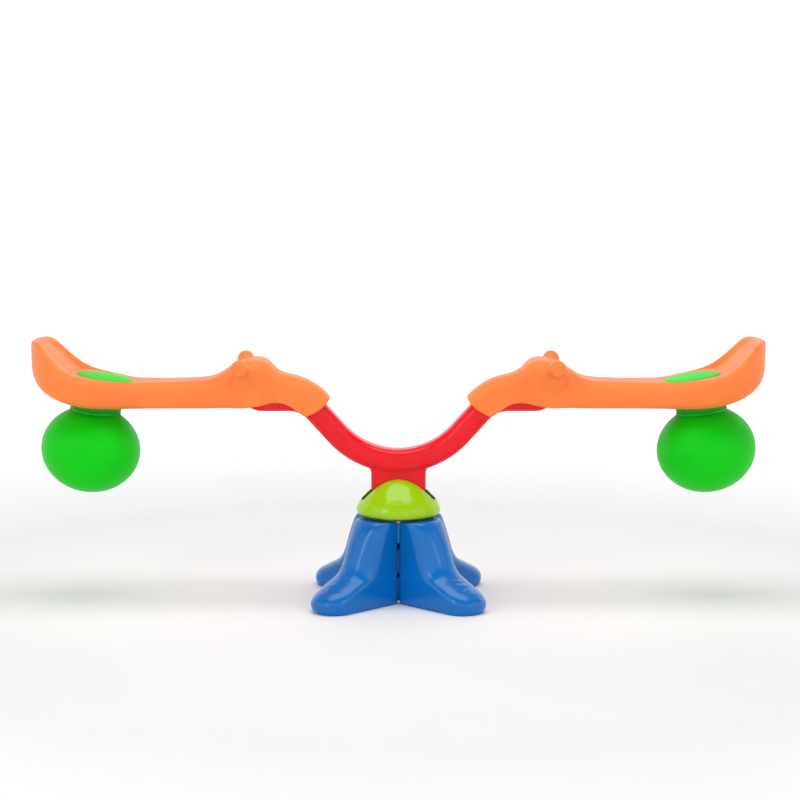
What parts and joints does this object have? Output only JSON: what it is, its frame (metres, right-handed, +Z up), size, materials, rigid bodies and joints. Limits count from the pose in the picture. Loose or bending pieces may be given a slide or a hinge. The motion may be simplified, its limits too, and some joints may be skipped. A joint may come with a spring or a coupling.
{
  "type": "seesaw",
  "caption": "Swivelling children's seesaw: a V beam with bucket seats and bumper balls tips in a round turret on moulded feet.",
  "frame": {"origin": "on the floor, on the swivel axis", "axes": "+X along the beam at rest, +Z up"},
  "size_m": [1.487, 0.3536, 0.5386],
  "materials": {
    "blue_plastic": "glossy blow moulding",
    "lime_plastic": "glossy moulding",
    "red_plastic": "semi-gloss blow moulding",
    "orange_plastic": "satin blow moulding",
    "disc_plastic": "satin moulding",
    "ball_vinyl": "satin vinyl",
    "collar_rubber": "satin",
    "black_nylon": "matt",
    "plated_steel": "zinc plated",
    "screw_steel": "zinc plated"
  },
  "bodies": {
    "base": {"leg_front_left": "blue_plastic", "leg_front_right": "blue_plastic", "leg_rear_left": "blue_plastic", "leg_rear_right": "blue_plastic", "hub_plate": "plated_steel", "hub_screws": "screw_steel", "hub_bush": "black_nylon", "thrust_ring": "black_nylon", "tie_plate": "plated_steel", "tie_screws": "screw_steel"},
    "turret": {"turret_yoke": "plated_steel", "swivel_washer": "screw_steel", "swivel_bolt": "screw_steel", "swivel_nut": "screw_steel", "turret_dome": "lime_plastic", "dome_screws": "screw_steel", "pivot_axle": "plated_steel", "axle_collars": "plated_steel"},
    "beam": {"centre_beam": "red_plastic", "column_spacers": "black_nylon", "pivot_bush": "black_nylon", "seat_left": "orange_plastic", "seat_disc_left": "disc_plastic", "bumper_ball_left": "ball_vinyl", "ball_collar_left": "collar_rubber", "ball_plug_left": "black_nylon", "ball_bolt_left": "screw_steel", "ball_washer_left": "screw_steel", "seat_bolts_left": "screw_steel", "seat_right": "orange_plastic", "seat_disc_right": "disc_plastic", "bumper_ball_right": "ball_vinyl", "ball_collar_right": "collar_rubber", "ball_plug_right": "black_nylon", "ball_bolt_right": "screw_steel", "ball_washer_right": "screw_steel", "seat_bolts_right": "screw_steel"}
  },
  "joints": [
    {"name": "swivel", "type": "hinge", "parent": "base", "child": "turret", "pos_m": [0, 0, 0.167], "axis": [0, 0, 1], "continuous": true},
    {"name": "tilt", "type": "hinge", "parent": "turret", "child": "beam", "pos_m": [0, 0, 0.215], "axis": [0, 1, 0], "range_deg": [-20, 20]}
  ]
}
